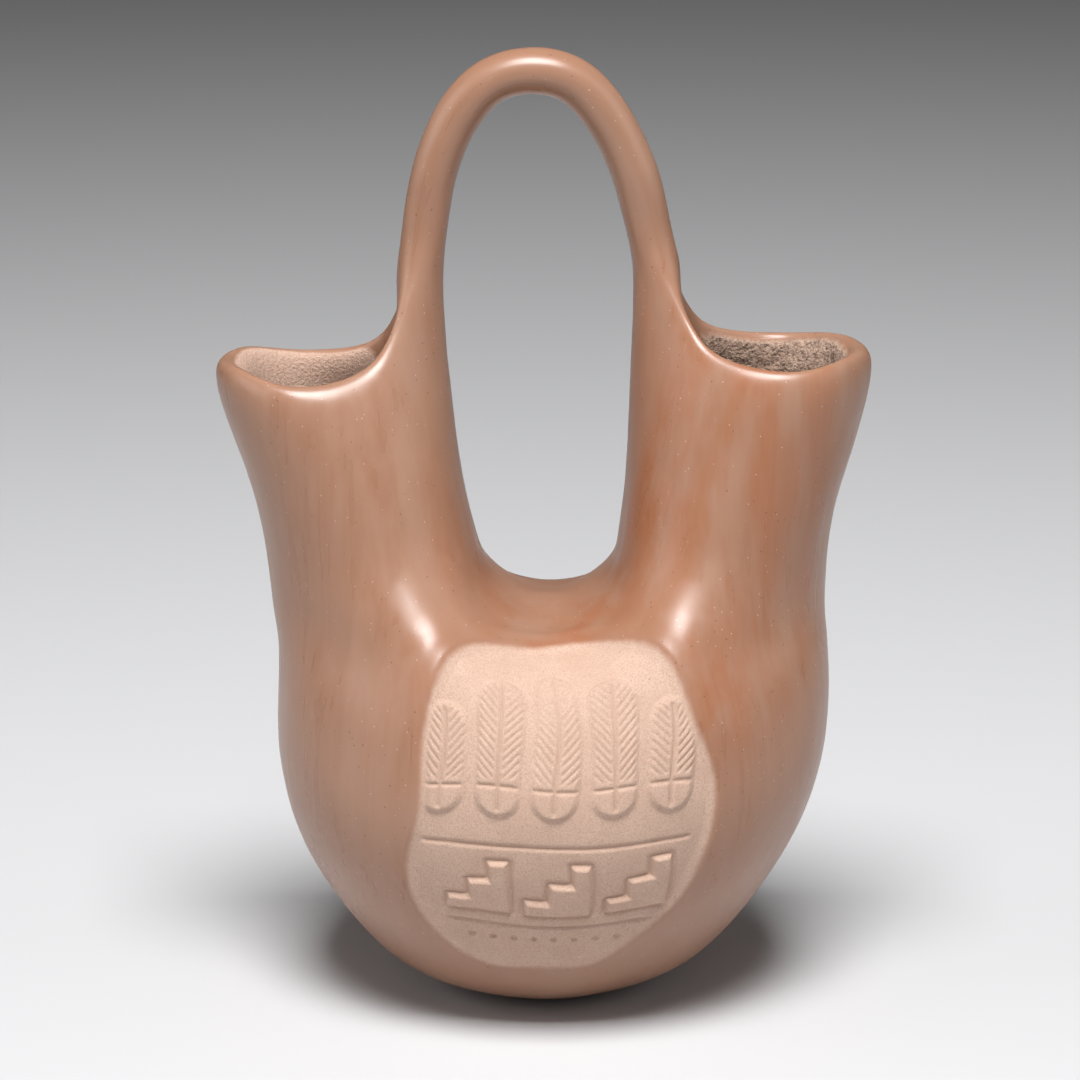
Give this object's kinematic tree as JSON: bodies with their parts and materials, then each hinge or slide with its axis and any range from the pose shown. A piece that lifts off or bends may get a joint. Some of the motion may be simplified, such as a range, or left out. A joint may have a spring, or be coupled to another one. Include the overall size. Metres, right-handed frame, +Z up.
{
  "type": "wedding vase",
  "caption": "Round-bottomed polished clay vase whose two flared necks share one chamber and are joined by a tall stirrup handle.",
  "frame": {"origin": "centre of the foot, on the surface the vase stands on", "axes": "+X towards the right-hand neck seen from the front, +Y to the back, +Z up"},
  "size_m": [0.13, 0.1032, 0.19],
  "materials": {
    "polished_clay": "stone-polished unglazed clay, satin outside and raw inside"
  },
  "bodies": {
    "root": {"moulded_base": "polished_clay", "belly_coil_lower": "polished_clay", "belly_coil_middle": "polished_clay", "belly_coil_upper": "polished_clay", "saddle_collar": "polished_clay", "left_neck_coil": "polished_clay", "left_lip_coil": "polished_clay", "left_handle_root": "polished_clay", "right_neck_coil": "polished_clay", "right_lip_coil": "polished_clay", "right_handle_root": "polished_clay", "handle_arch": "polished_clay"}
  },
  "joints": []
}
